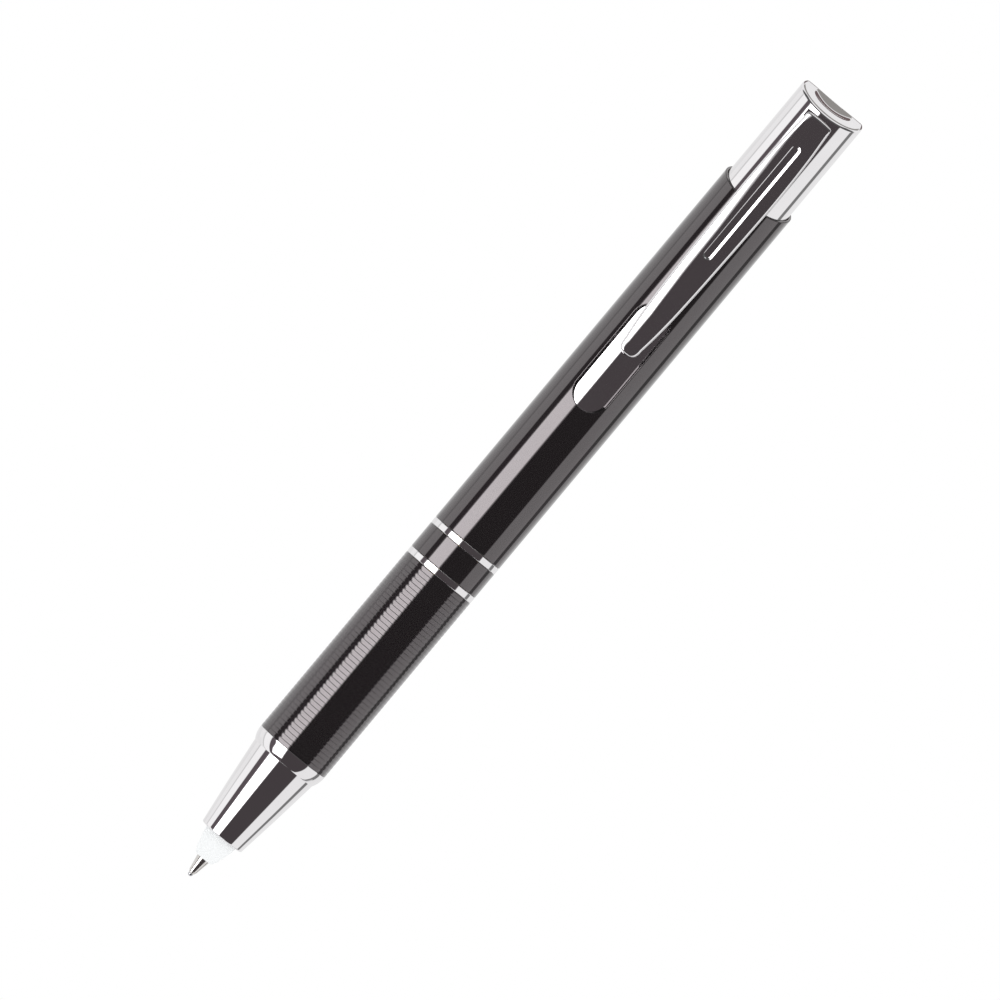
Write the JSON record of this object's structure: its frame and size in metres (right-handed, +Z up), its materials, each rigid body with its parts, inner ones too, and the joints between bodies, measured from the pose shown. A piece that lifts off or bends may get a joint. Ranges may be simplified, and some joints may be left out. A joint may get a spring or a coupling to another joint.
{
  "type": "retractable light-tip ballpoint pen",
  "caption": "Slim retractable metal ballpoint pen with a ribbed grip, a chrome cone with a light-up tip, and a chrome push cap that carries the clip.",
  "frame": {"origin": "the lowest point of the writing ball, with the point out", "axes": "+Z up the pen's axis from the ball to the cap, -Y towards the clip, +X to the right seen from the clip's side"},
  "size_m": [0.0112, 0.0134, 0.1369],
  "materials": {
    "gunmetal_lacquer": "glossy dark gunmetal lacquer over aluminium",
    "chrome": "bright chrome plate",
    "clip_chrome": "bright chrome plate on spring steel",
    "light_diffuser": "frosted translucent plastic",
    "refill_metal": "turned nickel silver",
    "carbide": "polished carbide",
    "brass": "bare brass",
    "spring_steel": "drawn spring wire",
    "board_green": "solder-masked board",
    "led_lens": "clear lens over phosphor",
    "ink": "wet ink",
    "plug_plastic": "moulded plastic",
    "holder_plastic": "moulded plastic",
    "cell_steel": "nickel-plated steel",
    "cam_plastic": "moulded acetal",
    "rotor_plastic": "moulded acetal"
  },
  "bodies": {
    "barrel": {"upper_barrel": "gunmetal_lacquer", "upper_ring": "chrome", "centre_band": "gunmetal_lacquer", "connector": "brass", "cam_tube": "cam_plastic"},
    "front_ring": {"lower_ring": "chrome"},
    "front": {"grip_tube": "gunmetal_lacquer", "nose_cone": "chrome", "light_tip": "light_diffuser", "led_board": "board_green", "led_chips": "led_lens", "spring_contact": "brass", "return_spring": "spring_steel"},
    "plunger": {"push_cap": "chrome", "plunger_sleeve": "chrome", "pusher": "cam_plastic"},
    "core": {"writing_ball": "carbide", "refill_point": "refill_metal", "ink_tube": "brass", "ink_column": "ink", "refill_plug": "plug_plastic", "cell_holder": "holder_plastic", "cell_1": "cell_steel", "cell_2": "cell_steel", "cell_3": "cell_steel", "cell_stud": "brass", "cell_spring": "spring_steel", "rotor": "rotor_plastic"},
    "clip": {"clip": "clip_chrome"}
  },
  "joints": [
    {"name": "plunger_slide", "type": "slide", "parent": "barrel", "child": "plunger", "axis": [0, 0, 1], "range_m": [-0.0012, 0.0045]},
    {"name": "core_slide", "type": "slide", "parent": "barrel", "child": "core", "axis": [0, 0, 1], "range_m": [-0.0012, 0.0045], "deforming": ["return_spring"]},
    {"name": "clip_flex", "type": "hinge", "parent": "plunger", "child": "clip", "pos_m": [0, -0.0053, 0.133], "axis": [-1, 0, 0], "range_deg": [0, 5], "stiffness_Nm_per_rad": 4},
    {"name": "grip_travel", "type": "slide", "parent": "barrel", "child": "front_ring", "axis": [0, 0, -1], "range_m": [0, 0.00225]},
    {"name": "grip_unscrew", "type": "hinge", "parent": "front_ring", "child": "front", "pos_m": [0, 0, 0.05], "axis": [0, 0, -1], "range_deg": [0, 1080]}
  ],
  "couplings": [
    {"joint": "core_slide", "follows": "plunger_slide", "ratio": 1},
    {"joint": "grip_unscrew", "follows": "grip_travel", "rad_per_m": 8377.6}
  ]
}
